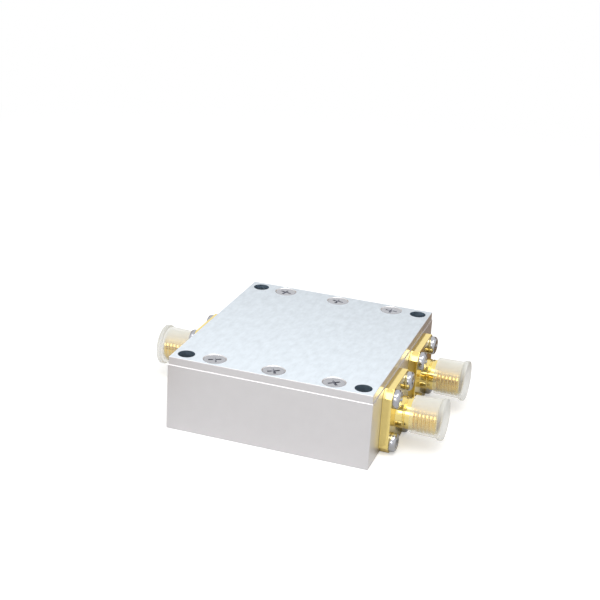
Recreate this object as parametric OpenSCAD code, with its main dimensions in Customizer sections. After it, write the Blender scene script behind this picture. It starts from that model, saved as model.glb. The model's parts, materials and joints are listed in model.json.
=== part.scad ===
// Two-way antenna power splitter: a milled aluminium box with a screwed lid, one coaxial input
// socket, two coaxial output sockets, a divider board inside and a push-on dust cap on each socket.
// The origin is the centre of the underside, +X points to the outputs and +Z is up.

/* [Box] */
// Width of the box, from the input face to the output face
body_w = 39; // [38:0.5:60]
// Depth of the box, along the face with the two outputs
body_d = 44; // [42:0.5:70]
// Height of the milled housing without its lid, with the sockets at half of it
housing_h = 12.9; // [12.7:0.1:20]
// Thickness of the lid
lid_t = 1.5; // [1.4:0.1:3]
// Chamfer on the outer edges of the housing
edge_chamfer = 0.1; // [0.1:0.05:0.5]
// How far the lid stays back from the housing's sides
lid_margin = 0.15; // [0:0.05:0.3]
// Chamfer on the lid's upper edges
lid_chamfer = 0.05; // [0.05:0.05:0.3]
// Thickness of the walls that carry the sockets
port_wall = 4; // [3.8:0.1:6]
// Thickness of the two long walls that carry the lid screws
side_wall = 4.8; // [4.4:0.1:6]
// Radius that the milling cutter leaves in the corners of the cavity
cutter_r = 2.5; // [1:0.25:4]

/* [Corner holes] */
// Diameter of the four mounting holes that pass through housing and lid
mount_hole_d = 3.2; // [2:0.1:3.6]
// Distance from a mounting hole's centre to both nearest edges
mount_inset = 2.6; // [2.4:0.1:3.2]

/* [Lid screws] */
// Thread diameter of the countersunk lid screws
lid_screw_d = 2.5; // [1.6:0.1:2.6]
// Diameter of the countersunk head
lid_head_d = 4.2; // [3.8:0.1:4.6]
// Length of a lid screw, head and all
lid_screw_l = 6; // [4:0.5:8]
// How far the heads sit below the lid's top
lid_head_sink = 0.1; // [0:0.05:0.25]
// Distance from the middle lid screw to the outer ones of its row
lid_screw_pitch = 11.4; // [9:0.1:12]
// Distance from a row of lid screws to its long edge
lid_screw_inset = 2.8; // [2.5:0.1:3.2]

/* [Sockets] */
// Distance between the two output sockets
output_pitch = 18.6; // [16:0.1:20]
// Housing left above and below each square socket flange
flange_margin = 0.1; // [0:0.05:0.5]
// Thickness of the socket flange
flange_t = 1.8; // [1.5:0.1:2.5]
// Length that the turned corners take off each side of the flange
flange_corner = 1.45; // [0.5:0.05:2.4]
// Outer diameter of the socket's thread
thread_d = 6.25; // [6:0.05:6.35]
// Diameter of the plain neck between flange and thread
neck_d = 6; // [5.4:0.1:6]
// Length of the plain neck
neck_l = 3.4; // [1.8:0.1:4.2]
// Distance from the flange to the groove round the neck
groove_x = 1.3; // [0.5:0.1:1.4]
// Width of that groove
groove_w = 0.3; // [0.1:0.05:0.4]
// Depth of that groove
groove_depth = 0.15; // [0.05:0.05:0.3]
// Distance from the box to the open end of the socket
socket_l = 9.5; // [9:0.1:12]
// Chamfer at the mouth of the thread
thread_chamfer = 0.35; // [0.2:0.05:0.5]
// Diameter of the recess in the mouth of the socket
mouth_d = 4.6; // [4.4:0.1:4.8]
// Depth of the recess in the mouth of the socket
mouth_l = 1.95; // [1.5:0.05:2.5]
// Diameter of the white insulator
insulator_d = 4.1; // [3.6:0.1:4.2]
// Outer diameter of the centre contact
contact_d = 1.27; // [1.2:0.01:1.4]
// Diameter of the hole that takes the mating pin
contact_hole_d = 0.94; // [0.9:0.01:1]
// Depth of the hole that takes the mating pin
contact_hole_l = 3; // [2:0.1:4]
// Width of the slots between the contact's fingers
contact_slot = 0.16; // [0.1:0.02:0.3]
// Reach of the contact over the board
contact_reach = 2; // [1.5:0.1:3]

/* [Flange screws] */
// Thread diameter of the pan head flange screws
flange_screw_d = 2; // [1.6:0.1:2.2]
// Distance from a flange screw's centre to both nearest edges of the flange
flange_screw_inset = 2.03; // [1.8:0.01:2.2]
// Length of a flange screw under its head
flange_screw_l = 5; // [4:0.5:5]
// Diameter of a pan head
pan_head_d = 3.6; // [3:0.1:3.8]
// Height of a pan head
pan_head_h = 1.2; // [1:0.1:1.6]
// Width of one arm of the cross recess
cross_w = 0.6; // [0.3:0.05:0.8]
// Depth of the cross recess
cross_depth = 0.65; // [0.4:0.05:0.8]

/* [Dust caps] */
// Distance from the box to the open rim of a cap
cap_rim_x = 4.5; // [3:0.1:6]
// Wall thickness of a cap at its rim
cap_wall = 0.35; // [0.3:0.05:0.8]
// How much wider the cap is at its closed end than at its rim
cap_taper = 0.2; // [0:0.05:0.6]
// Thickness of the cap's closed end
cap_end_t = 0.9; // [0.5:0.05:1.2]
// How far the lip at the closed end stands out
cap_lip = 0.3; // [0.25:0.05:1]
// Thickness of that lip
cap_lip_t = 0.9; // [0.5:0.05:1.5]
// Rounding of the lip's edge
cap_round = 0.2; // [0.05:0.05:0.4]

/* [Circuit] */
// Thickness of the circuit board
board_t = 1.6; // [1:0.1:1.6]
// Thickness of the copper on the board
copper_t = 0.07; // [0.03:0.01:0.15]
// Width of the tracks that run to the sockets
line_w = 3; // [2:0.1:3.4]
// Width of the two divider arms
arm_w = 1.6; // [0.8:0.1:1.8]
// Number of turns in each divider arm, an odd number
arm_turns = 5; // [3:2:5]
// Distance from the board's input edge to the first run of the arms
arm_inset = 6.35; // [5.8:0.05:7]
// Distance from the board's long edges to the outer turns of the arms
arm_edge = 4.05; // [1.5:0.05:7]
// Distance from the centre line to the inner turns of the arms
arm_in = 2.2; // [2.1:0.1:2.4]
// Distance from the board's output edge to the cross run of the output lines
cross_inset = 6.35; // [6:0.05:7]
// Distance from the last run of the arms to the cross run
cross_gap = 3; // [2.4:0.1:4]
// Length of the isolation resistor
resistor_l = 3.2; // [3:0.1:4]
// Width of the isolation resistor
resistor_w = 1.6; // [1:0.1:2]
// Height of the isolation resistor
resistor_h = 0.55; // [0.4:0.05:1]
// Radius of the solder joint at a contact's tip
solder_r = 1.2; // [1:0.05:1.3]
// Thread diameter of the board screws
board_screw_d = 2; // [1.6:0.1:2]
// Length of a board screw under its head
board_screw_l = 4; // [3:0.5:4.5]
// Distance from a board screw at the input side to the board's edges
board_screw_inset = 3; // [2.5:0.1:3.2]

/* [Fits] */
// Gap all round the board in its cavity
board_gap = 0.15; // [0.05:0.05:0.3]
// Radial gap of a screw in its clearance hole
screw_gap = 0.15; // [0.05:0.05:0.2]
// Radial gap of a screw in its tapped hole
tap_gap = 0.02; // [0:0.01:0.05]
// Room past the tip of a screw in a blind hole
tap_room = 0.3; // [0.1:0.1:0.5]
// Radial gap between a cap and the thread
cap_gap = 0.05; // [0.02:0.01:0.1]
// Gap between a cap's closed end and the mouth of the socket
cap_end_gap = 0.2; // [0.02:0.02:0.4]
// Radial gap of the insulator in the housing wall
insulator_gap = 0.05; // [0.02:0.01:0.2]
// How far the track ends stay back from the board's edge
track_margin = 0.3; // [0.1:0.1:0.5]
// Gap between a screw head and the track or the neck beside it
head_gap = 0.3; // [0.1:0.05:0.5]

/* [Hidden] */
$fn = 64;

// Overshoot of cutting shapes, so that no cut ends on a face
cut = 1;

// The sockets, and the board at the height where the contacts lie on its tracks
port_z = housing_h / 2;
contact_r = contact_d / 2;
board_z = port_z - contact_r - copper_t - board_t;
board_top = board_z + board_t;
track_top = board_top + copper_t;
cavity_w = body_w - 2 * port_wall;
cavity_d = body_d - 2 * side_wall;
board_w = cavity_w - 2 * board_gap;
board_d = cavity_d - 2 * board_gap;
board_r = cutter_r;

// Screw places
mount_x = body_w / 2 - mount_inset;
mount_y = body_d / 2 - mount_inset;
lid_screw_y = body_d / 2 - lid_screw_inset;

// The lid
lid_w = body_w - 2 * lid_margin;
lid_d = body_d - 2 * lid_margin;
top_z = housing_h + lid_t;

// The square flange fills the housing's height, its corners are turned round the socket's axis, and
// its screws keep off the neck
flange_a = housing_h - 2 * flange_margin;
flange_turned_r = norm([flange_a / 2, flange_a / 2 - flange_corner]);
flange_screw_pitch = max(
    flange_a - 2 * flange_screw_inset,
    sqrt(2) * (max(neck_d, thread_d) / 2 + head_gap + pan_head_d / 2)
);

// The divider, laid out from the board's edges
arm_start = board_w / 2 - arm_inset;
arm_out = board_d / 2 - arm_edge;
cross_run = board_w / 2 - cross_inset;
arm_end = cross_run - cross_gap;

// The board's screws: two in the corners at the input side, two between the output lines
head_room = line_w / 2 + head_gap + pan_head_d / 2;
BOARD_SCREWS = [
    for (side = [-1, 1]) [-board_w / 2 + board_screw_inset, side * (board_d / 2 - board_screw_inset)],
    for (side = [-1, 1]) [cross_run + head_room, side * (output_pitch / 2 - head_room)]
];

// The caps, from the thread that they grip
cap_in_r = thread_d / 2 + cap_gap;
cap_floor_x = socket_l + cap_end_gap;
cap_end_x = cap_floor_x + cap_end_t;

// Each port is a turn about Z and an offset along the face that it stands on
INPUT = [180, 0];
OUTPUT_A = [0, -output_pitch / 2];
OUTPUT_B = [0, output_pitch / 2];
PORTS = [INPUT, OUTPUT_A, OUTPUT_B];

GOLD = "#d9b45b";
STEEL = "#c9c8c6";
ALUMINIUM = "#d6d7da";
PTFE = "#f4f3ee";
MILKY = "#e6e3dc";

// Places its children at a port: the origin on the outer face, +X pointing out of the box
module at_port(port) {
    rotate([0, 0, port[0]])
        translate([body_w / 2, port[1], port_z])
            children();
}

// A cylinder along +X, from x0 to x1
module rod(d, x0, x1) {
    translate([x0, 0, 0])
        rotate([0, 90, 0])
            cylinder(d = d, h = x1 - x0);
}

// Turns a profile of [radius, distance] points about the X axis
module turned(points) {
    rotate([0, 90, 0])
        rotate_extrude()
            polygon(points);
}

// Places its children at the four points [+-x, +-y]
module at_corners(x, y) {
    for (sx = [-1, 1], sy = [-1, 1])
        translate([sx * x, sy * y, 0])
            children();
}

// Places its children at the four board screws
module at_board_screws() {
    for (place = BOARD_SCREWS)
        translate([place[0], place[1], 0])
            children();
}

// Places its children at the six lid screws, on the lid's top
module at_lid_screws() {
    for (i = [-1:1], sy = [-1, 1])
        translate([i * lid_screw_pitch, sy * lid_screw_y, top_z])
            children();
}

// Places its children at the four screws of a port, in the port's frame
module at_flange_screws() {
    for (sy = [-1, 1], sz = [-1, 1])
        translate([0, sy * flange_screw_pitch / 2, sz * flange_screw_pitch / 2])
            children();
}

// A rectangle with round corners, centred
module round_rect(w, d, r) {
    for (turn = [0, 1])
        square([w - turn * 2 * r, d - (1 - turn) * 2 * r], center = true);
    at_corners(w / 2 - r, d / 2 - r)
        circle(r = r);
}

// A block from z0 to z1 with its four upright edges and its chosen level edges chamfered
module edged_block(w, d, z0, z1, c, top, bottom) {
    ct = top ? c : 0;
    cb = bottom ? c : 0;
    intersection() {
        for_profile(w, z0, z1, ct, cb, d);
        rotate([0, 0, 90])
            for_profile(d, z0, z1, ct, cb, w);
        translate([0, 0, z0])
            linear_extrude(z1 - z0)
                polygon([
                    [w / 2 - c, -d / 2], [w / 2, -d / 2 + c], [w / 2, d / 2 - c], [w / 2 - c, d / 2],
                    [-w / 2 + c, d / 2], [-w / 2, d / 2 - c], [-w / 2, -d / 2 + c], [-w / 2 + c, -d / 2]
                ]);
    }
}

// A bar along Y with the chamfered section of a block w wide, from z0 to z1
module for_profile(w, z0, z1, ct, cb, length) {
    rotate([90, 0, 0])
        linear_extrude(length, center = true)
            polygon([
                [-w / 2 + cb, z0], [w / 2 - cb, z0], [w / 2, z0 + cb], [w / 2, z1 - ct],
                [w / 2 - ct, z1], [-w / 2 + ct, z1], [-w / 2, z1 - ct], [-w / 2, z0 + cb]
            ]);
}

// The milled housing: a block with a pocket, port bores, tapped holes and corner holes
module housing() {
    color(ALUMINIUM)
        difference() {
            edged_block(body_w, body_d, 0, housing_h, edge_chamfer, true, true);
            translate([0, 0, board_z])
                linear_extrude(housing_h - board_z + cut)
                    round_rect(cavity_w, cavity_d, cutter_r);
            at_corners(mount_x, mount_y)
                translate([0, 0, -cut])
                    cylinder(d = mount_hole_d, h = housing_h + 2 * cut);
            at_lid_screws()
                translate([0, 0, -lid_head_sink - lid_screw_l - tap_room])
                    cylinder(d = lid_screw_d + 2 * tap_gap, h = lid_screw_l + cut);
            at_board_screws()
                translate([0, 0, board_top - board_screw_l - tap_room])
                    cylinder(d = board_screw_d + 2 * tap_gap, h = board_screw_l);
            for (port = PORTS)
                at_port(port) {
                    rod(insulator_d + 2 * insulator_gap, -port_wall - cut, cut);
                    at_flange_screws()
                        rod(flange_screw_d + 2 * tap_gap, flange_t - flange_screw_l - tap_room, cut);
                }
        }
}

// The lid: a plate with six countersunk holes and the four corner holes
module lid() {
    color(ALUMINIUM)
        difference() {
            edged_block(lid_w, lid_d, housing_h, top_z, lid_chamfer, true, false);
            at_corners(mount_x, mount_y)
                translate([0, 0, housing_h - cut])
                    cylinder(d = mount_hole_d, h = lid_t + 2 * cut);
            at_lid_screws()
                lid_screw_shape(screw_gap, lid_t + cut, cut);
        }
}

// A countersunk screw's outline below z = 0, its shank grown by a gap and its cone cut off at top
module lid_screw_shape(gap, length, top) {
    shank_r = lid_screw_d / 2 + gap;
    rim_r = lid_head_d / 2 + lid_head_sink;
    rotate_extrude()
        polygon([
            [0, -length], [shank_r, -length], [shank_r, shank_r - rim_r], [rim_r + top, top], [0, top]
        ]);
}

// A cross recess cut down from z = 0
module cross_recess(span) {
    for (turn = [0, 90])
        rotate([0, 0, turn])
            translate([-span / 2, -cross_w / 2, -cross_depth])
                cube([span, cross_w, cross_depth + cut]);
}

// The six countersunk lid screws
module lid_screws() {
    color(STEEL)
        at_lid_screws()
            difference() {
                lid_screw_shape(0, lid_head_sink + lid_screw_l, -lid_head_sink);
                translate([0, 0, -lid_head_sink])
                    cross_recess(lid_head_d * 0.55);
            }
}

// A pan head screw: its head stands on z = 0 and its shank goes down
module pan_screw(d, length) {
    head_r = pan_head_d / 2;
    dome = pan_head_h * 0.45;
    difference() {
        rotate_extrude()
            polygon([
                [0, -length], [d / 2, -length], [d / 2, 0], [head_r, 0],
                for (a = [0:15:75]) [
                    head_r - dome * (1 - cos(a)) * 1.4,
                    pan_head_h - dome + dome * sin(a)
                ],
                [head_r * 0.55, pan_head_h], [0, pan_head_h]
            ]);
        translate([0, 0, pan_head_h])
            cross_recess(pan_head_d * 0.58);
    }
}

// The four screws of a port, heads outward
module flange_screws(port) {
    color(STEEL)
        at_port(port)
            at_flange_screws()
                translate([flange_t, 0, 0])
                    rotate([0, 90, 0])
                        pan_screw(flange_screw_d, flange_screw_l);
}

// A socket body turned from one square bar: flange, neck and barrel at the thread's outer diameter
module connector(port) {
    thread_r = thread_d / 2;
    neck_r = neck_d / 2;
    thread_x = flange_t + neck_l;
    color(GOLD)
        at_port(port)
            difference() {
                union() {
                    intersection() {
                        translate([0, -flange_a / 2, -flange_a / 2])
                            cube([flange_t, flange_a, flange_a]);
                        rod(2 * flange_turned_r, 0, flange_t, $fn = 128);
                    }
                    turned([
                        [0, 0], [neck_r, 0], [neck_r, flange_t + groove_x],
                        [neck_r - groove_depth, flange_t + groove_x],
                        [neck_r - groove_depth, flange_t + groove_x + groove_w],
                        [neck_r, flange_t + groove_x + groove_w], [neck_r, thread_x],
                        [thread_r - thread_chamfer / 2, thread_x], [thread_r, thread_x + thread_chamfer / 2],
                        [thread_r, socket_l - thread_chamfer], [thread_r - thread_chamfer, socket_l],
                        [0, socket_l]
                    ]);
                }
                rod(insulator_d, -cut, socket_l);
                rod(mouth_d, socket_l - mouth_l, socket_l + cut);
                at_flange_screws()
                    rod(flange_screw_d + 2 * screw_gap, -cut, flange_t + cut);
            }
}

// The insulator: from the floor of the mouth to the inner face of the housing wall
module insulator(port) {
    color(PTFE)
        at_port(port)
            difference() {
                rod(insulator_d, -port_wall, socket_l - mouth_l);
                rod(contact_d, -port_wall - cut, socket_l);
            }
}

// The centre contact: a slotted socket outside, a solid pin over the board inside
module contact(port) {
    mouth = socket_l - mouth_l;
    color(GOLD)
        at_port(port)
            difference() {
                rod(contact_d, -port_wall - contact_reach, mouth);
                rod(contact_hole_d, mouth - contact_hole_l, mouth + cut);
                for (turn = [0, 90])
                    rotate([turn, 0, 0])
                        translate([mouth - contact_hole_l, -contact_slot / 2, -contact_d])
                            cube([contact_hole_l + cut, contact_slot, 2 * contact_d]);
            }
}

// The push-on dust cap: a thin tapered cup with a round-edged lip at its closed end
module dust_cap(port) {
    rim_r = cap_in_r + cap_wall;
    end_r = rim_r + cap_taper / 2;
    lip_r = end_r + cap_lip;
    color(MILKY)
        at_port(port)
            difference() {
                turned([
                    [0, cap_rim_x], [rim_r, cap_rim_x], [end_r, cap_end_x - cap_lip_t],
                    [lip_r, cap_end_x - cap_lip_t],
                    for (a = [0:30:90]) [
                        lip_r - cap_round * (1 - cos(a)),
                        cap_end_x - cap_round * (1 - sin(a))
                    ],
                    [0, cap_end_x]
                ]);
                rod(2 * cap_in_r, cap_rim_x - cut, cap_floor_x);
            }
}

// The board, with a hole for each board screw
module circuit_board() {
    color("#2f6b3f")
        translate([0, 0, board_z])
            linear_extrude(board_t)
                difference() {
                    round_rect(board_w, board_d, board_r);
                    at_board_screws()
                        circle(d = board_screw_d + 2 * screw_gap);
                }
}

// A straight track w wide between two points that share an x or a y
module run(a, b, w) {
    translate([min(a[0], b[0]) - w / 2, min(a[1], b[1]) - w / 2])
        square([abs(b[0] - a[0]) + w, abs(b[1] - a[1]) + w]);
}

// The etched divider: input line, two folded arms and two output lines in one piece
module copper_tracks() {
    step = (arm_start + arm_end) / arm_turns;
    edge_x = board_w / 2 - track_margin - line_w / 2;
    color("#c98b4b")
        translate([0, 0, board_top])
            linear_extrude(copper_t) {
                run([-edge_x, 0], [-arm_start, 0], line_w);
                for (side = [-1, 1])
                    scale([1, side]) {
                        run([-arm_start, 0], [-arm_start, arm_out], arm_w);
                        for (i = [1:arm_turns]) {
                            x = -arm_start + i * step;
                            y = i % 2 == 1 ? arm_out : arm_in;
                            run([x, arm_in], [x, arm_out], arm_w);
                            run([x - step, y], [x, y], arm_w);
                        }
                        run([arm_end, arm_in], [cross_run, arm_in], line_w);
                        run([cross_run, arm_in], [cross_run, output_pitch / 2], line_w);
                        run([cross_run, output_pitch / 2], [edge_x, output_pitch / 2], line_w);
                    }
            }
}

// The resistor that bridges the ends of the two arms
module isolation_resistor() {
    color("#2b2b2d")
        translate([arm_end - resistor_w / 2, -resistor_l / 2, track_top])
            cube([resistor_w, resistor_l, resistor_h]);
}

// The four screws that hold the board down
module board_screws() {
    color(STEEL)
        at_board_screws()
            translate([0, 0, board_top])
                pan_screw(board_screw_d, board_screw_l);
}

// The solder at the tips of the three contacts
module solder_joints() {
    color("#b9bbbd")
        for (port = PORTS)
            at_port(port)
                translate([-port_wall - contact_reach, 0, track_top - port_z])
                    difference() {
                        intersection() {
                            sphere(r = solder_r);
                            translate([-solder_r, -solder_r, 0])
                                cube(2 * solder_r);
                        }
                        translate([0, 0, contact_r])
                            rod(contact_d, 0, solder_r + cut);
                    }
}

housing();
lid();
lid_screws();
circuit_board();
copper_tracks();
isolation_resistor();
board_screws();
solder_joints();
connector(INPUT);  // input_connector
insulator(INPUT);  // input_insulator
contact(INPUT);  // input_contact
flange_screws(INPUT);  // input_screws
dust_cap(INPUT);  // input_cap
connector(OUTPUT_A);  // output_a_connector
insulator(OUTPUT_A);  // output_a_insulator
contact(OUTPUT_A);  // output_a_contact
flange_screws(OUTPUT_A);  // output_a_screws
dust_cap(OUTPUT_A);  // output_a_cap
connector(OUTPUT_B);  // output_b_connector
insulator(OUTPUT_B);  // output_b_insulator
contact(OUTPUT_B);  // output_b_contact
flange_screws(OUTPUT_B);  // output_b_screws
dust_cap(OUTPUT_B);  // output_b_cap
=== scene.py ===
"""Dresses a two-way antenna power splitter: aluminium box, gold-plated sockets and milky dust caps."""

import json
import math

import bmesh
import bpy
from bpy.props import FloatProperty, FloatVectorProperty, PointerProperty
from bpy.types import Operator, Panel, PropertyGroup
from mathutils import Euler, Matrix, Vector


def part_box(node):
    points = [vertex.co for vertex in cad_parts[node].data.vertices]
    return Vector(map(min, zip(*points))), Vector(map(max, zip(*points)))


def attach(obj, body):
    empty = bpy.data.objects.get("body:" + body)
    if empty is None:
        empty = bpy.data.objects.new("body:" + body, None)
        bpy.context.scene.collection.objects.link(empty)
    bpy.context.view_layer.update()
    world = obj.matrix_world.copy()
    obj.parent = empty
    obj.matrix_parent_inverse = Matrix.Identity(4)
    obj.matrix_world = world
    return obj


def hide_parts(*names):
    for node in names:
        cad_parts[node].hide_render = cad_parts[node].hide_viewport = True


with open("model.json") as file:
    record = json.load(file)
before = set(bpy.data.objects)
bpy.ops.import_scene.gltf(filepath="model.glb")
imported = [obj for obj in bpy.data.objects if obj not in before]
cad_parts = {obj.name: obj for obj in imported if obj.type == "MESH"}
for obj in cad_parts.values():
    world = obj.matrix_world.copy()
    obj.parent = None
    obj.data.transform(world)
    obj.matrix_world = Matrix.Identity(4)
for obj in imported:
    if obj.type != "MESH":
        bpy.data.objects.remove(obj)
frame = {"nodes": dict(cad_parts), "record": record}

bl_info = {
    "name": "Antenna Power Splitter",
    "version": (1, 0, 0),
    "blender": (4, 5, 0),
    "location": "View3D > Sidebar > Splitter",
    "description": "Dresses the solids of a two-way antenna power splitter",
    "category": "Object",
}

MM = 0.001

# The box is the body that stays; each port has a socket, and a cap on a body of its own
BOX = "box"
PORTS = ("input", "output_a", "output_b")

# Columns round a socket or a cap, round a screw, and rings in one turn of a thread
COLUMNS = 96
SCREW_COLUMNS = 48
THREAD_RINGS = 10

# Vertices closer than this are one, and edges sharper than this stay sharp
WELD = 1e-7
SHARP = math.radians(32)


def linear(text):
    """An sRGB hex colour as linear red, green, blue and an alpha of 1."""
    parts = [int(text[i : i + 2], 16) / 255 for i in (1, 3, 5)]
    return (*(c / 12.92 if c <= 0.04045 else ((c + 0.055) / 1.055) ** 2.4 for c in parts), 1.0)


def length(name, description, millimetres):
    """A size that the user can change."""
    return FloatProperty(
        name=name, description=description, default=millimetres * MM, unit="LENGTH", precision=5
    )


def colour(name, description, text):
    """A colour that the user can change."""
    return FloatVectorProperty(
        name=name, description=description, default=linear(text), size=4, subtype="COLOR", min=0, max=1
    )


class SplitterSizes(PropertyGroup):
    """Sizes of the pieces that are modelled here, where the solids don't give them."""

    flange: length("Flange", "Thickness of a socket's square flange", 1.8)
    flange_corner: length("Flange Corner", "What the turned corners take off each side", 1.45)
    edge_break: length("Edge Break", "How far sharp machined edges are broken", 0.1)
    neck: length("Neck", "Diameter of the plain neck of a socket", 6.0)
    neck_end: length("Neck End", "Distance from the box to the start of the thread", 5.2)
    groove: length("Groove", "Distance from the box to the groove in the neck", 3.1)
    groove_width: length("Groove Width", "Width of the groove in the neck", 0.3)
    groove_depth: length("Groove Depth", "Depth of the groove in the neck", 0.15)
    thread: length("Thread", "Outer diameter of the socket's thread", 6.25)
    thread_pitch: length("Thread Pitch", "Pitch of the socket's thread", 25.4 / 36)
    thread_depth: length("Thread Depth", "Depth of the socket's thread", 0.4)
    mouth: length("Mouth", "Diameter of the recess in the mouth of a socket", 4.6)
    mouth_depth: length("Mouth Depth", "Depth of the recess in the mouth of a socket", 1.95)
    bore: length("Bore", "Diameter of the bore that holds the insulator", 4.1)
    cap_bore: length("Cap Bore", "Inner diameter of a dust cap", 6.35)
    cap_wall: length("Cap Wall", "Wall thickness of a dust cap at its rim", 0.35)
    cap_taper: length("Cap Taper", "How much wider the cap is at its closed end", 0.2)
    cap_end: length("Cap End", "Thickness of the cap's closed end", 0.9)
    cap_lip: length("Cap Lip", "How far the lip at the closed end stands out", 0.3)
    cap_round: length("Cap Rounding", "Radius of the cap's moulded edges", 0.2)
    pan_head: length("Pan Head", "Diameter of a pan head", 3.6)
    pan_head_height: length("Pan Head Height", "Height of a pan head", 1.2)
    pan_thread: length("Pan Thread", "Thread diameter of the pan head screws", 2.0)
    pan_pitch: length("Pan Pitch", "Thread pitch of the pan head screws", 0.4)
    pan_recess: length("Pan Recess", "Width across the cross recess of a pan head", 2.2)
    lid_head: length("Lid Head", "Diameter of a lid screw's countersunk head", 4.2)
    lid_thread: length("Lid Thread", "Thread diameter of the lid screws", 2.5)
    lid_pitch: length("Lid Pitch", "Thread pitch of the lid screws", 0.45)
    lid_recess: length("Lid Recess", "Width across the cross recess of a lid screw", 2.4)
    recess_arm: length("Recess Arm", "Width of one arm of the cross recess", 0.5)
    recess_depth: length("Recess Depth", "Depth of the cross recess", 0.8)


class SplitterColours(PropertyGroup):
    """Colours of the finishes."""

    housing: colour("Housing", "Milled aluminium of the housing", "#DEDCDD")
    lid: colour("Lid", "Rolled aluminium of the lid", "#E2EAF1")
    # Painted shade: a darker, bluish grey for the walls of the lid's corner holes, where shade and dark
    # reflections fall
    bore: colour("Bore", "Drilled walls of the lid's corner holes", "#A9BCCB")
    gold: colour("Gold", "Gold plate of the sockets and contacts", "#F8E190")
    nickel: colour("Nickel", "Nickel plate of the screws", "#B6B7BC")
    cap: colour("Cap", "Milky polyethylene of the dust caps", "#F9F9F2")
    insulator: colour("Insulator", "PTFE of the insulators", "#F3F2EC")
    laminate: colour("Laminate", "Lacquered glass laminate of the board", "#2C6A3E")
    copper: colour("Copper", "Etched copper of the tracks", "#C98B4E")
    ceramic: colour("Ceramic", "Glazed ceramic of the resistor", "#1E1E20")
    solder: colour("Solder", "Tin solder of the joints", "#BDBFC1")
    floor: colour("Floor", "Paper of the floor", "#E7E7E7")
    # Painted shade: the dark cards only show in what polished surfaces mirror
    felt: colour("Felt", "Felt of the dark cards", "#83694A")


class SplitterCamera(PropertyGroup):
    """Where the camera stands, from the box's own frame."""

    place: FloatVectorProperty(
        name="Place",
        description="Where the camera stands",
        default=(67.553 * MM, -215.874 * MM, 108.463 * MM),
        subtype="TRANSLATION",
        unit="LENGTH",
    )
    azimuth: FloatProperty(
        name="Azimuth", description="Turn about Z", default=math.radians(17.861), unit="ROTATION"
    )
    elevation: FloatProperty(
        name="Elevation", description="Angle above the floor", default=math.radians(21.11), unit="ROTATION"
    )
    roll: FloatProperty(
        name="Roll", description="Tilt about the view axis", default=math.radians(3.392), unit="ROTATION"
    )
    lens: FloatProperty(
        name="Lens", description="Focal length", default=76.285, unit="CAMERA", min=1
    )


def sizes():
    return bpy.context.scene.splitter_sizes


def colours():
    return bpy.context.scene.splitter_colours


# Materials


def add_node(tree, kind, settings=None, links=None, stops=None):
    """Adds a shader node with its settings and links: a socket goes by name or number, and a ramp by stops."""
    node = tree.nodes.new(kind)
    for name, value in (settings or {}).items():
        if isinstance(name, int) or name in node.inputs:
            node.inputs[name].default_value = value
        else:
            setattr(node, name, value)
    for name, source in (links or {}).items():
        tree.links.new(source, node.inputs[name])
    for index, (place, value) in enumerate(stops or ()):
        ramp = node.color_ramp.elements
        stop = ramp[index] if index < len(ramp) else ramp.new(place)
        stop.position = place
        stop.color = value
    return node


def start_material(name):
    """A material with an empty tree, with its output and the place on the object in metres."""
    material = bpy.data.materials.new(name)
    material.use_nodes = True
    tree = material.node_tree
    tree.nodes.clear()
    output = add_node(tree, "ShaderNodeOutputMaterial")
    place = add_node(tree, "ShaderNodeTexCoord").outputs["Object"]
    return material, tree, output, place


def finish_material(tree, output, settings, links):
    shader = add_node(tree, "ShaderNodeBsdfPrincipled", settings, links)
    tree.links.new(shader.outputs[0], output.inputs["Surface"])


def shade(value, factor):
    """A colour made darker or lighter."""
    return (*(min(1.0, c * factor) for c in value[:3]), 1.0)


def grey(value):
    return (value, value, value, 1.0)


def noise(tree, place, grain, detail=3.0):
    """A cloudy pattern whose grain is that many millimetres across."""
    settings = {"Scale": 1 / (grain * MM), "Detail": detail, "Roughness": 0.6}
    return add_node(tree, "ShaderNodeTexNoise", settings, {"Vector": place}).outputs["Fac"]


def between(tree, pattern, low, high, spread=0.2):
    """Turns a pattern's value into a colour between two, with most of the change about its middle."""
    stops = [(0.5 - spread, low), (0.5 + spread, high)]
    return add_node(tree, "ShaderNodeValToRGB", links={"Fac": pattern}, stops=stops).outputs["Color"]


def relief(tree, pattern, height):
    """Normals of a relief that many millimetres high."""
    bump = add_node(tree, "ShaderNodeBump", {"Distance": height * MM}, {"Height": pattern})
    return bump.outputs["Normal"]


def worked(name, base, settings, roughness, spread, grain, height, mottle, tint):
    """A material whose gloss and relief drift over a grain, and its tone over a mottle, in millimetres."""
    material, tree, output, place = start_material(name)
    fine = noise(tree, place, grain)
    links = {
        "Base Color": between(tree, noise(tree, place, mottle), shade(base, 1 - tint), shade(base, 1 + tint)),
        "Roughness": between(tree, fine, grey(roughness - spread), grey(roughness + spread)),
        "Normal": relief(tree, fine, height),
    }
    finish_material(tree, output, settings, links)
    return material


METAL = {"Metallic": 1.0}

# Haze of one surface of a dust cap: of its wall, and what its thick end and a slant add, and painted light that
# whitens its top as if lit from above
WALL_HAZE, END_HAZE, SLANT_HAZE, TOP_PAINTED_LIGHT = 0.07, 0.16, 0.4, 0.45


def milled_aluminium():
    """Aluminium, end milled and bead blasted: a soft even sheen with a very fine grit."""
    return worked("milled_aluminium", colours().housing, METAL, 0.42, 0.04, 0.15, 0.002, 2.5, 0.012)


def gold_plate():
    """Gold plate over turned brass: a warm mirror with faint marks of the turning tool."""
    return worked("gold_plated_brass", colours().gold, METAL, 0.12, 0.03, 0.1, 0.0006, 1.0, 0.03)


def nickel_plate():
    """Nickel plate on formed steel: a bright grey mirror."""
    return worked("nickel_plated_steel", colours().nickel, METAL, 0.18, 0.04, 0.15, 0.001, 0.8, 0.05)


def etched_copper():
    """Copper foil, etched: a dull orange metal."""
    return worked("etched_copper", colours().copper, METAL, 0.38, 0.06, 0.2, 0.002, 1.5, 0.06)


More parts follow.
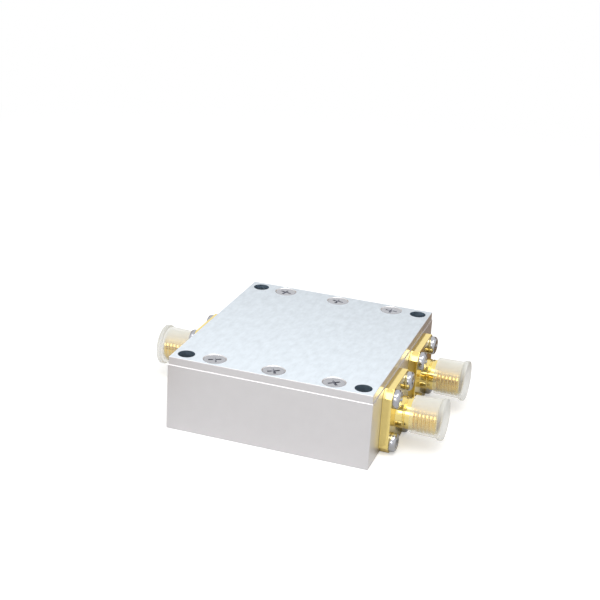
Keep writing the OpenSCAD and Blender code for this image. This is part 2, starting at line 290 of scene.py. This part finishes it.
def tin_solder():
    """Tin solder, reflowed: a bright uneven skin."""
    return worked("tin_solder", colours().solder, METAL, 0.25, 0.08, 0.3, 0.01, 0.8, 0.06)


def turned_ptfe():
    """PTFE, turned: a dense white with a waxy, nearly matt face."""
    wax = {"Metallic": 0.0, "IOR": 1.35}
    return worked("turned_ptfe", colours().insulator, wax, 0.45, 0.05, 0.4, 0.002, 0.8, 0.015)


def glazed_ceramic():
    """Ceramic chip with a fired glaze: near black and glossy."""
    glaze = {"Metallic": 0.0, "IOR": 1.6}
    return worked("glazed_ceramic", colours().ceramic, glaze, 0.22, 0.05, 0.3, 0.002, 0.5, 0.1)


def rolled_aluminium():
    """Aluminium sheet, rolled and milled on its edges: a pale mottled face with painted shade that darkens it
    towards the back, bluish painted shade in its corner holes, over dull edges.
    """
    material, tree, output, place = start_material("rolled_aluminium")
    face = colours().lid
    low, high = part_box("lid")
    # Painted shade: the face is darker towards the back and paler in front, as the light falls on it; the
    # mottle's ramp carries it
    back = add_node(tree, "ShaderNodeSeparateXYZ", links={"Vector": place}).outputs["Y"]
    drift = {"From Min": low.y, "From Max": high.y, "To Min": 0.47, "To Max": 0.0}
    painted_shade_level = add_node(tree, "ShaderNodeMapRange", drift, {"Value": back}).outputs["Result"]
    drawn = add_node(tree, "ShaderNodeMapping", {"Scale": (1.0, 0.45, 1.0)}, {"Vector": place}).outputs[0]
    cloud = add_node(
        tree,
        "ShaderNodeMath",
        {"operation": "MULTIPLY_ADD", 1: 0.7},
        {0: noise(tree, drawn, 1.1, 5.0), 2: painted_shade_level},
    )
    mottled = between(tree, cloud.outputs[0], shade(face, 0.78), shade(face, 1.12), 0.35)
    normal = add_node(tree, "ShaderNodeNewGeometry").outputs["True Normal"]
    upward = add_node(tree, "ShaderNodeSeparateXYZ", links={"Vector": normal}).outputs["Z"]
    is_face = add_node(tree, "ShaderNodeMapRange", {"From Min": 0.8, "From Max": 0.9}, {"Value": upward})
    # Painted shade: the walls of the corner holes take the darker, bluish bore colour
    holes = next(mount["dims"] for mount in frame["record"]["mounts"] if mount["name"] == "corner_holes")
    centre = (holes["spacing_x_mm"] / 2 * MM, holes["spacing_y_mm"] / 2 * MM, 0)
    corner = add_node(tree, "ShaderNodeVectorMath", {"operation": "ABSOLUTE"}, {0: place}).outputs[0]
    flat = add_node(tree, "ShaderNodeVectorMath", {"operation": "MULTIPLY", 1: (1, 1, 0)}, {0: corner})
    off = add_node(tree, "ShaderNodeVectorMath", {"operation": "DISTANCE", 1: centre}, {0: flat.outputs[0]})
    painted_bore_shade_mask = add_node(
        tree,
        "ShaderNodeMath",
        {"operation": "LESS_THAN", 1: (holes["hole_r_mm"] + 0.05) * MM},
        {0: off.outputs["Value"]},
    )
    cut = add_node(
        tree,
        "ShaderNodeMixRGB",
        {"Color1": colours().housing, "Color2": colours().bore},
        {"Fac": painted_bore_shade_mask.outputs[0]},
    )
    tone = add_node(
        tree,
        "ShaderNodeMixRGB",
        links={"Fac": is_face.outputs["Result"], "Color1": cut.outputs["Color"], "Color2": mottled},
    )
    fine = noise(tree, drawn, 0.2, 4.0)
    links = {
        "Base Color": tone.outputs["Color"],
        "Roughness": between(tree, fine, grey(0.34), grey(0.46)),
        "Normal": relief(tree, fine, 0.004),
    }
    finish_material(tree, output, METAL, links)
    return material


def milky_polyethylene():
    """Polyethylene, moulded: a waxy milky skin over the gold, with painted light that whitens its top, and
    denser in its thick end, where a darker copy of its colour is painted shade.
    """
    material, tree, output, place = start_material("milky_polyethylene")
    base = colours().cap
    low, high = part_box("output_a_cap")
    thick = high.x - sizes().cap_end
    axis, top = (low.z + high.z) / 2, high.z
    parts = add_node(tree, "ShaderNodeSeparateXYZ", links={"Vector": place})
    either_side = add_node(tree, "ShaderNodeMath", {"operation": "ABSOLUTE"}, {0: parts.outputs["X"]})
    at_end = add_node(
        tree,
        "ShaderNodeMapRange",
        {"From Min": thick - 0.2 * MM, "From Max": thick + 0.1 * MM},
        {"Value": either_side.outputs[0]},
    ).outputs["Result"]
    density = add_node(
        tree, "ShaderNodeMath", {"operation": "MULTIPLY_ADD", 1: END_HAZE, 2: WALL_HAZE}, {0: at_end}
    )
    # Painted light: the haze rises towards the top, as if the wall were lit from above
    painted_top_light = add_node(
        tree,
        "ShaderNodeMapRange",
        {
            "interpolation_type": "SMOOTHSTEP",
            "From Min": axis + 0.1 * (top - axis),
            "From Max": top,
            "To Min": 0.0,
            "To Max": TOP_PAINTED_LIGHT,
        },
        {"Value": parts.outputs["Z"]},
    )
    slant = add_node(tree, "ShaderNodeLayerWeight", {"Blend": 0.3}).outputs["Facing"]
    skin = add_node(
        tree,
        "ShaderNodeMath",
        {"operation": "MULTIPLY_ADD", 1: SLANT_HAZE},
        {0: slant, 2: density.outputs[0]},
    )
    haze = add_node(
        tree, "ShaderNodeMath", {"operation": "ADD"}, {0: skin.outputs[0], 1: painted_top_light.outputs["Result"]}
    )
    mottled = between(tree, noise(tree, place, 2.5), shade(base, 0.97), shade(base, 1.03))
    # Painted shade: the thick end takes a darker copy of the cap colour
    tone = add_node(
        tree, "ShaderNodeMixRGB", {"Color2": shade(base, 0.8)}, {"Fac": at_end, "Color1": mottled}
    )
    links = {
        "Base Color": tone.outputs["Color"],
        "Roughness": between(tree, noise(tree, place, 0.3), grey(0.3), grey(0.42)),
        "Alpha": haze.outputs[0],
    }
    finish_material(tree, output, {"Metallic": 0.0, "IOR": 1.51}, links)
    return material


def glass_laminate():
    """Glass cloth laminate under green lacquer: the cloth's yarns, 0.45 mm apart, show through the gloss."""
    material, tree, output, place = start_material("glass_laminate")
    yarns = []
    for direction in "XY":
        settings = {
            "wave_type": "BANDS",
            "bands_direction": direction,
            "Scale": math.tau / 20 / (0.45 * MM),
            "Distortion": 0.4,
        }
        yarns.append(add_node(tree, "ShaderNodeTexWave", settings, {"Vector": place}).outputs["Fac"])
    cloth = add_node(tree, "ShaderNodeMath", {"operation": "MULTIPLY"}, dict(enumerate(yarns)))
    base = colours().laminate
    links = {
        "Base Color": between(tree, cloth.outputs[0], shade(base, 0.82), shade(base, 1.2), 0.4),
        "Normal": relief(tree, cloth.outputs[0], 0.006),
    }
    finish_material(tree, output, {"Metallic": 0.0, "IOR": 1.55, "Roughness": 0.3}, links)
    return material


def painted_shade_card():
    """Matt dark brown of the dark cards, which only reflections see: painted shade in what polished surfaces
    mirror.
    """
    felt = {"Metallic": 0.0, "IOR": 1.5}
    return worked("painted_shade_card", colours().felt, felt, 0.9, 0.05, 0.5, 0.1, 2.0, 0.1)


def seamless_paper(near, far):
    """Matt studio paper: it keeps the shadow near the box, and turns to an even white further off."""
    material, tree, output, place = start_material("seamless_paper")
    base = colours().floor
    path = add_node(tree, "ShaderNodeLightPath")
    distance = add_node(tree, "ShaderNodeVectorMath", {"operation": "LENGTH"}, {0: place})
    away = add_node(
        tree,
        "ShaderNodeMapRange",
        {"interpolation_type": "SMOOTHSTEP", "From Min": near, "From Max": far},
        {"Value": distance.outputs["Value"]},
    )
    paper = add_node(
        tree,
        "ShaderNodeBsdfPrincipled",
        {"Roughness": 0.9, "Specular IOR Level": 0.0, "Emission Color": grey(1.0)},
        {
            "Base Color": between(tree, noise(tree, place, 1.5), shade(base, 0.995), base),
            "Emission Strength": scaled(tree, path.outputs["Is Camera Ray"], 0.4),
        },
    )
    white = add_node(tree, "ShaderNodeEmission", {"Color": grey(1.0), "Strength": 1.0})
    blend = {"Fac": away.outputs["Result"], 1: paper.outputs[0], 2: white.outputs[0]}
    mix = add_node(tree, "ShaderNodeMixShader", links=blend)
    tree.links.new(mix.outputs[0], output.inputs["Surface"])
    return material


def scaled(tree, source, factor):
    """A value times a factor."""
    return add_node(tree, "ShaderNodeMath", {"operation": "MULTIPLY", 1: factor}, {0: source}).outputs[0]


# Mesh work


def port_place(port):
    """A port's frame, with its origin on the box's face and +X out of the box, and its socket's length."""
    low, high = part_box(f"{port}_connector")
    box_low, box_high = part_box("housing")
    outward = high.x > box_high.x
    face = box_high.x if outward else box_low.x
    reach = high.x - face if outward else face - low.x
    turn = Matrix.Rotation(0 if outward else math.pi, 4, "Z")
    return Matrix.Translation((face, (low.y + high.y) / 2, (low.z + high.z) / 2)) @ turn, reach


def sweep(bm, count, columns, point):
    """Adds a surface of that many rings round the X axis: point(ring, turn) gives distance and radius."""
    grid = []
    for column in range(columns + 1):
        turn = column / columns
        angle = math.tau * (turn % 1.0)
        corners = []
        for ring in range(count):
            x, r = point(ring, turn)
            corners.append(bm.verts.new((x, r * math.cos(angle), r * math.sin(angle))))
        grid.append(corners)
    for a, b in zip(grid, grid[1:]):
        for j in range(count - 1):
            bm.faces.new((a[j], a[j + 1], b[j + 1], b[j]))


def revolve(bm, profile, columns):
    """Adds the surface that a profile of (distance, radius) points sweeps round the X axis."""
    sweep(bm, len(profile), columns, lambda ring, turn: profile[ring])


def thread(bm, start, end, radius, depth, pitch, columns):
    """Adds a right-handed thread between two distances, fading in and out at its ends."""
    rings = (math.ceil((end - start) / pitch) + 1) * THREAD_RINGS + 1
    root = radius - depth

    def point(ring, turn):
        x = min(max(start + pitch * (ring / THREAD_RINGS + turn - 1), start), end)
        phase = ring / THREAD_RINGS % 1.0
        slope = min(1.0, max(0.0, 1.25 - 3.2 * abs(phase - 0.5)))
        fade = min(1.0, (x - start) / depth, (end - x) / depth)
        return x, root + depth * min(slope, fade)

    sweep(bm, rings, columns, point)


def arc(centre, radius, start, end, steps):
    """Points (distance, radius) of an arc between two angles in degrees, from +distance to +radius."""
    angles = [math.radians(start + (end - start) * i / steps) for i in range(steps + 1)]
    return [(centre[0] + radius * math.cos(a), centre[1] + radius * math.sin(a)) for a in angles]


def fill(bm, *loops):
    """Fills the flat area between an outline and the holes in it."""
    edges = []
    for loop in loops:
        corners = [bm.verts.new(p) for p in loop]
        edges += [bm.edges.new(pair) for pair in zip(corners, corners[1:] + corners[:1])]
    bmesh.ops.triangle_fill(bm, use_beauty=True, use_dissolve=False, edges=edges)


def wall(bm, lower, upper):
    """Joins two closed loops of as many points by a band of faces."""
    a = [bm.verts.new(p) for p in lower]
    b = [bm.verts.new(p) for p in upper]
    for i in range(len(a)):
        k = (i + 1) % len(a)
        bm.faces.new((a[i], a[k], b[k], b[i]))


def turned_square(side, radius, x, steps=6):
    """The outline of a square whose corners are turned to a radius, at distance x, facing +X."""
    start = math.acos(side / 2 / radius)
    points = []
    for quarter in range(4):
        for i in range(steps + 1):
            angle = math.tau / 4 * quarter + start + (math.tau / 4 - 2 * start) * i / steps
            points.append((x, radius * math.cos(angle), radius * math.sin(angle)))
    return points


def circle(y, z, radius, x, columns):
    """A circle round (y, z) at distance x."""
    angles = [math.tau * i / columns for i in range(columns)]
    return [(x, y + radius * math.cos(a), z + radius * math.sin(a)) for a in angles]


def close_mesh(bm):
    """Welds what meets, removes faces without area and turns all faces outward."""
    bmesh.ops.remove_doubles(bm, verts=bm.verts, dist=WELD)
    bmesh.ops.dissolve_degenerate(bm, dist=WELD / 10, edges=bm.edges)
    bmesh.ops.recalc_face_normals(bm, faces=bm.faces)


def soften(bm):
    """Shades the faces smooth, and keeps the sharp edges sharp."""
    for face in bm.faces:
        face.smooth = True
    for edge in bm.edges:
        edge.smooth = edge.calc_face_angle(math.pi) < SHARP


def add_piece(name, bm, body, material, node):
    """Makes a piece from a mesh in the row frame: it rides on a body and stands for a node."""
    soften(bm)
    mesh = bpy.data.meshes.new(name)
    bm.to_mesh(mesh)
    bm.free()
    mesh.materials.append(material)
    piece = bpy.data.objects.new(name, mesh)
    bpy.context.scene.collection.objects.link(piece)
    flat = piece.modifiers.new("flat_faces", "WEIGHTED_NORMAL")
    flat.keep_sharp = True
    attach(piece, body)
    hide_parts(node)
    return piece


def dress(node, material):
    """Gives a node of the frame its finish."""
    piece = frame["nodes"][node]
    piece.data.materials.clear()
    piece.data.materials.append(material)


# Pieces


def socket_mesh(place, reach, side, inset):
    """A flange socket: square flange with four holes, neck with a groove, thread, mouth and bore."""
    s = sizes()
    edge = s.edge_break
    bm = bmesh.new()

    neck, root = s.neck / 2, s.thread / 2 - s.thread_depth
    foot = neck + edge
    revolve(
        bm,
        arc((s.flange + edge, foot), edge, 180, 270, 3)
        + [
            (s.groove, neck),
            (s.groove + s.groove_depth, neck - s.groove_depth),
            (s.groove + s.groove_width, neck - s.groove_depth),
            (s.groove + s.groove_width + s.groove_depth, neck),
            (s.neck_end - edge, neck),
            (s.neck_end, neck - edge),
            (s.neck_end, root),
        ],
        COLUMNS,
    )
    thread(bm, s.neck_end, reach, s.thread / 2, s.thread_depth, s.thread_pitch, COLUMNS)
    revolve(
        bm,
        [
            (reach, root),
            (reach, s.mouth / 2 + edge),
            (reach - edge, s.mouth / 2),
            (reach - s.mouth_depth, s.mouth / 2),
            (reach - s.mouth_depth, s.bore / 2),
            (0, s.bore / 2),
        ],
        COLUMNS,
    )

    hole = s.pan_thread / 2 + 0.15 * MM
    centres = [(y * inset, z * inset) for y in (-1, 1) for z in (-1, 1)]
    front = [circle(y, z, hole, s.flange, SCREW_COLUMNS) for y, z in centres]
    back = [circle(y, z, hole, 0, SCREW_COLUMNS) for y, z in centres]
    for lower, upper in zip(back, front):
        wall(bm, lower, upper)
    turned = math.hypot(side / 2, side / 2 - s.flange_corner)
    section = arc((edge, -edge), edge, 180, 90, 3) + arc((s.flange - edge, -edge), edge, 90, 0, 3)
    outline = [turned_square(side + 2 * rise, turned + rise, x) for x, rise in section]
    for lower, upper in zip(outline, outline[1:]):
        wall(bm, lower, upper)
    fill(bm, outline[0], circle(0, 0, s.bore / 2, 0, COLUMNS), *back)
    fill(bm, outline[-1], circle(0, 0, foot, s.flange, COLUMNS), *front)

    close_mesh(bm)
    bm.transform(place)
    return bm


def cap_mesh(place, rim, end):
    """A dust cap: a thin tapered cup with a round rim and a round-edged lip at its closed end."""
    s = sizes()
    edge = s.cap_round
    inner = s.cap_bore / 2
    lip = inner + s.cap_wall + s.cap_taper / 2 + s.cap_lip
    half = s.cap_wall / 2
    floor = end - s.cap_end
    profile = arc((rim + half, inner + half), half, 270, 90, 8)
    profile += arc((floor - edge, lip - s.cap_lip + edge), edge, 270, 360, 4)
    profile += arc((floor + edge, lip - edge), edge, 180, 90, 4)
    profile += arc((end - edge, lip - edge), edge, 90, 0, 4)
    profile += [(end, 0), (floor, 0)]
    profile += arc((floor - edge, inner - edge), edge, 0, 90, 3)
    profile += [profile[0]]
    bm = bmesh.new()
    revolve(bm, profile, COLUMNS)
    close_mesh(bm)
    bm.transform(place)
    return bm


def cross_cutter(top, across):
    """A cross that narrows downward, to cut a driver's recess: +X is up, and top is the head's top."""
    s = sizes()
    reach, arm = across / 2, s.recess_arm / 2
    outline = []
    for quarter in range(4):
        turn = Matrix.Rotation(math.tau * quarter / 4, 2)
        outline += [tuple(turn @ Vector(p)) for p in ((reach, -arm), (reach, arm), (arm, arm))]
    levels = ((0.3, 1.12), (0, 1.0), (-0.75, 0.72), (-1, 0.3))
    rings = [
        [(top + rise * s.recess_depth, y * scale, z * scale) for y, z in outline] for rise, scale in levels
    ]
    bm = bmesh.new()
    for lower, upper in zip(rings, rings[1:]):
        wall(bm, lower, upper)
    fill(bm, rings[0])
    fill(bm, rings[-1])
    close_mesh(bm)
    mesh = bpy.data.meshes.new("cross_cutter")
    bm.to_mesh(mesh)
    bm.free()
    return mesh


def cut_recess(bm, top, across):
    """Cuts the cross recess into a screw whose head's top is at distance top on +X."""
    mesh = bpy.data.meshes.new("screw_blank")
    bm.to_mesh(mesh)
    bm.free()
    blank = bpy.data.objects.new("screw_blank", mesh)
    tool = bpy.data.objects.new("cross_cutter", cross_cutter(top, across))
    for helper in (blank, tool):
        bpy.context.scene.collection.objects.link(helper)
    cut = blank.modifiers.new("recess", "BOOLEAN")
    cut.operation = "DIFFERENCE"
    cut.solver = "EXACT"
    cut.object = tool
    bpy.context.view_layer.update()
    done = bmesh.new()
    done.from_object(blank, bpy.context.evaluated_depsgraph_get())
    for helper in (blank, tool):
        spare = helper.data
        bpy.data.objects.remove(helper)
        bpy.data.meshes.remove(spare)
    return done


def pan_screw(shank):
    """A pan head screw along +X, with its head's underside at 0."""
    s = sizes()
    head, top, core = s.pan_head / 2, s.pan_head_height, s.pan_thread / 2
    depth = s.pan_pitch * 0.6
    root = core - depth
    neck = -0.3 * MM
    edge = 0.08 * MM
    crown = top * 0.5
    dome = [
        (top - crown * (1 - math.sin(a)), head * 0.62 + head * 0.38 * math.cos(a))
        for a in (math.radians(15 * i) for i in range(7))
    ]
    bm = bmesh.new()
    revolve(bm, [(-shank, 0), (-shank, root)], SCREW_COLUMNS)
    thread(bm, -shank, neck, core, depth, s.pan_pitch, SCREW_COLUMNS)
    foot = [(neck, root), (neck, core), (0, core)] + arc((edge, head - edge), edge, 180, 90, 3)
    revolve(bm, foot + dome + [(top, head * 0.3), (top, 0)], SCREW_COLUMNS)
    close_mesh(bm)
    return cut_recess(bm, top, s.pan_recess)


def countersunk_screw(shank):
    """A countersunk screw along +X, with the top of its head at 0."""
    s = sizes()
    head, core = s.lid_head / 2, s.lid_thread / 2
    depth = s.lid_pitch * 0.6
    root = core - depth
    edge = 0.06 * MM
    taper = core - head
    bm = bmesh.new()
    revolve(bm, [(-shank, 0), (-shank, root)], SCREW_COLUMNS)
    thread(bm, -shank, taper, core, depth, s.lid_pitch, SCREW_COLUMNS)
    cone = [(taper, root), (taper, core), (-edge, head - edge)]
    revolve(bm, cone + [(-edge / 3, head - edge), (0, head - 1.5 * edge), (0, 0)], SCREW_COLUMNS)
    close_mesh(bm)
    return cut_recess(bm, 0, s.lid_recess)


def copies(screw, places):
    """One mesh that holds a screw at each place, each turned on its axis by its own angle."""
    whole = bmesh.new()
    for index, place in enumerate(places):
        one = screw.copy()
        one.transform(place @ Matrix.Rotation(index * 2.4 + 0.5, 4, "X"))
        mesh = bpy.data.meshes.new("screw_copy")
        one.to_mesh(mesh)
        one.free()
        whole.from_mesh(mesh)
        bpy.data.meshes.remove(mesh)
    screw.free()
    return whole


def flange_screws(port):
    """The places of a port's four screws under their heads, the length of a shank, and their inset."""
    s = sizes()
    place, _ = port_place(port)
    low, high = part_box(f"{port}_screws")
    inset = (high.z - low.z) / 2 - s.pan_head / 2
    shank = high.x - low.x - s.pan_head_height
    places = [
        place @ Matrix.Translation((s.flange, y * inset, z * inset)) for y in (-1, 1) for z in (-1, 1)
    ]
    return places, shank, inset


# Operators


class SPLITTER_OT_box(Operator):
    """Finish the milled housing and its lid"""

    bl_idname = "splitter.box"
    bl_label = "Box"

    def execute(self, context):
        dress("housing", milled_aluminium())
        dress("lid", rolled_aluminium())
        return {"FINISHED"}


class SPLITTER_OT_sockets(Operator):
    """Turn the three flange sockets with their threads"""

    bl_idname = "splitter.sockets"
    bl_label = "Threaded Sockets"

    def execute(self, context):
        material = gold_plate()
        for port in PORTS:
            place, reach = port_place(port)
            low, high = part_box(f"{port}_connector")
            _, _, inset = flange_screws(port)
            bm = socket_mesh(place, reach, high.z - low.z, inset)
            add_piece(f"{port}_socket", bm, BOX, material, f"{port}_connector")
        return {"FINISHED"}


class SPLITTER_OT_contacts(Operator):
    """Finish the insulators and the centre contacts"""

    bl_idname = "splitter.contacts"
    bl_label = "Insulators and Contacts"

    def execute(self, context):
        ptfe, gold = turned_ptfe(), gold_plate()
        for port in PORTS:
            dress(f"{port}_insulator", ptfe)
            dress(f"{port}_contact", gold)
        return {"FINISHED"}


class SPLITTER_OT_screws(Operator):
    """Make the lid screws and the flange screws, and finish the board screws"""

    bl_idname = "splitter.screws"
    bl_label = "Screws"

    def execute(self, context):
        material = nickel_plate()
        for port in PORTS:
            places, shank, _ = flange_screws(port)
            bm = copies(pan_screw(shank), places)
            add_piece(f"{port}_flange_screws", bm, BOX, material, f"{port}_screws")

        upright = Matrix.Rotation(-math.pi / 2, 4, "Y")
        low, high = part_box("lid_screws")
        x, y = (value - sizes().lid_head / 2 for value in (high.x, high.y))
        places = [
            Matrix.Translation((column * x, row * y, high.z)) @ upright
            for column in (-1, 0, 1)
            for row in (-1, 1)
        ]
        bm = copies(countersunk_screw(high.z - low.z), places)
        add_piece("lid_countersunk_screws", bm, BOX, material, "lid_screws")
        dress("board_screws", material)
        return {"FINISHED"}


class SPLITTER_OT_caps(Operator):
    """Mould the three push-on dust caps"""

    bl_idname = "splitter.caps"
    bl_label = "Dust Caps"

    def execute(self, context):
        material = milky_polyethylene()
        for port in PORTS:
            place, _ = port_place(port)
            back = place.inverted()
            rim, end = sorted((back @ corner).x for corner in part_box(f"{port}_cap"))
            bm = cap_mesh(place, rim, end)
            add_piece(f"{port}_dust_cap", bm, f"cap_{port}", material, f"{port}_cap")
        return {"FINISHED"}


class SPLITTER_OT_divider(Operator):
    """Finish the divider board and what is soldered to it"""

    bl_idname = "splitter.divider"
    bl_label = "Divider Board"

    def execute(self, context):
        dress("circuit_board", glass_laminate())
        dress("copper_tracks", etched_copper())
        dress("isolation_resistor", glazed_ceramic())
        dress("solder_joints", tin_solder())
        return {"FINISHED"}


class SPLITTER_OT_stage(Operator):
    """Set up the paper floor, the soft light and the camera"""

    bl_idname = "splitter.stage"
    bl_label = "Stage"

    def execute(self, context):
        context.scene.view_settings.view_transform = "Standard"
        add_floor()
        add_sky()
        # The lamps stand high, so that from low behind the lid mirrors little of them
        add_softbox("top_softbox", (0.19, -0.17, 0.6), (0.4, 0.3), 3.3)
        add_softbox("front_softbox", (-0.12, -0.36, 0.6), (0.5, 0.2), 1.9)
        add_softbox("low_softbox", (-0.22, -0.62, 0.27), (0.5, 0.22), 2.9)
        # The dark cards are painted shade that only reflections show: they darken what polished metal mirrors
        # of the room and of the paper beside the box
        add_flag("low_flag", (-0.225, -0.3, 0.03), (0.35, 0.06))
        add_flag("back_flag", (0.108, 0.266, 0.086), (0.2, 0.15))
        add_flag("left_flag", (-0.26, 0.12, 0.075), (0.3, 0.1))
        add_flag("right_card", (0.045, 0.06, 0.0005), (0.05, 0.08), upright=False)
        add_flag("left_card", (-0.08, -0.036, 0.0005), (0.1, 0.026), upright=False)
        add_camera()
        return {"FINISHED"}


def add_floor():
    """A wide sheet of paper under the box."""
    bm = bmesh.new()
    bmesh.ops.create_grid(bm, x_segments=8, y_segments=8, size=4.0)
    mesh = bpy.data.meshes.new("paper_floor")
    bm.to_mesh(mesh)
    bm.free()
    mesh.materials.append(seamless_paper(near=0.09, far=0.26))
    floor = bpy.data.objects.new("paper_floor", mesh)
    bpy.context.scene.collection.objects.link(floor)


def add_sky():
    """Even white for the eye, for what metal mirrors and what plastic lets through, and weaker as light."""
    world = bpy.data.worlds.new("studio")
    bpy.context.scene.world = world
    world.use_nodes = True
    tree = world.node_tree
    tree.nodes.clear()
    path = add_node(tree, "ShaderNodeLightPath")
    seen = path.outputs["Is Camera Ray"]
    for kind in ("Is Glossy Ray", "Is Transmission Ray"):
        either = add_node(tree, "ShaderNodeMath", {"operation": "MAXIMUM"}, {0: seen, 1: path.outputs[kind]})
        seen = either.outputs[0]
    strength = add_node(tree, "ShaderNodeMapRange", {"To Min": 0.6, "To Max": 1.0}, {"Value": seen})
    sky = add_node(
        tree, "ShaderNodeBackground", {"Color": grey(1.0)}, {"Strength": strength.outputs["Result"]}
    )
    output = add_node(tree, "ShaderNodeOutputWorld")
    tree.links.new(sky.outputs[0], output.inputs["Surface"])


def add_softbox(name, place, size, radiance):
    """A rectangular lamp that faces the box, as bright as radiance times a white sheet."""
    lamp = bpy.data.lights.new(name, "AREA")
    lamp.shape = "RECTANGLE"
    lamp.size, lamp.size_y = size
    lamp.energy = radiance * math.pi * size[0] * size[1]
    piece = bpy.data.objects.new(name, lamp)
    piece.location = place
    piece.rotation_euler = Vector(place).to_track_quat("Z", "Y").to_euler()
    piece.visible_camera = False
    bpy.context.scene.collection.objects.link(piece)


def add_flag(name, place, size, upright=True):
    """A dark card, upright or flat, that only polished metal sees: painted shade in its reflections, for the
    dark tones along its edges.
    """
    bm = bmesh.new()
    bmesh.ops.create_grid(bm, x_segments=4, y_segments=1, size=0.5)
    bm.transform(Matrix.Diagonal((*size, 1, 1)))
    bm.transform(Matrix.Translation(place) @ Matrix.Rotation(math.pi / 2 if upright else 0, 4, "X"))
    mesh = bpy.data.meshes.new(name)
    bm.to_mesh(mesh)
    bm.free()
    mesh.materials.append(painted_shade_card())
    flag = bpy.data.objects.new(name, mesh)
    flag.visible_camera = False
    flag.visible_diffuse = False
    flag.visible_shadow = False
    bpy.context.scene.collection.objects.link(flag)


def add_camera():
    """The camera, turned by its azimuth and elevation and then rolled about its own axis."""
    scene = bpy.context.scene
    view = scene.splitter_camera
    lens = bpy.data.cameras.new("camera")
    lens.sensor_width = 36
    lens.lens = view.lens
    lens.clip_start, lens.clip_end = 0.01, 20
    camera = bpy.data.objects.new("camera", lens)
    aim = Euler((math.pi / 2 - view.elevation, 0, view.azimuth)).to_matrix()
    turn = aim @ Matrix.Rotation(view.roll, 3, "Z")
    camera.matrix_world = Matrix.Translation(view.place) @ turn.to_4x4()
    scene.collection.objects.link(camera)
    scene.camera = camera


class SPLITTER_PT_panel(Panel):
    """Panel with the steps, the sizes, the colours and the camera"""

    bl_label = "Antenna Power Splitter"
    bl_idname = "SPLITTER_PT_panel"
    bl_space_type = "VIEW_3D"
    bl_region_type = "UI"
    bl_category = "Splitter"

    def draw(self, context):
        for operator in OPERATORS:
            self.layout.operator(operator.bl_idname)
        for title, name in (("Sizes", "sizes"), ("Colours", "colours"), ("Camera", "camera")):
            group = getattr(context.scene, f"splitter_{name}")
            box = self.layout.box()
            box.label(text=title)
            for key in type(group).__annotations__:
                box.prop(group, key)


GROUPS = {
    "splitter_sizes": SplitterSizes,
    "splitter_colours": SplitterColours,
    "splitter_camera": SplitterCamera,
}
OPERATORS = (
    SPLITTER_OT_box,
    SPLITTER_OT_sockets,
    SPLITTER_OT_contacts,
    SPLITTER_OT_screws,
    SPLITTER_OT_caps,
    SPLITTER_OT_divider,
    SPLITTER_OT_stage,
)


def register():
    for name, group in GROUPS.items():
        bpy.utils.register_class(group)
        setattr(bpy.types.Scene, name, PointerProperty(type=group))
    for kind in (*OPERATORS, SPLITTER_PT_panel):
        bpy.utils.register_class(kind)


def unregister():
    for kind in (SPLITTER_PT_panel, *reversed(OPERATORS)):
        bpy.utils.unregister_class(kind)
    for name, group in reversed(GROUPS.items()):
        delattr(bpy.types.Scene, name)
        bpy.utils.unregister_class(group)


def main():
    """Dresses the frame."""
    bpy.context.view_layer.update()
    register()
    bpy.ops.splitter.box()
    bpy.ops.splitter.sockets()
    bpy.ops.splitter.contacts()
    bpy.ops.splitter.screws()
    bpy.ops.splitter.caps()
    bpy.ops.splitter.divider()
    bpy.ops.splitter.stage()


if __name__ == "__main__":
    main()
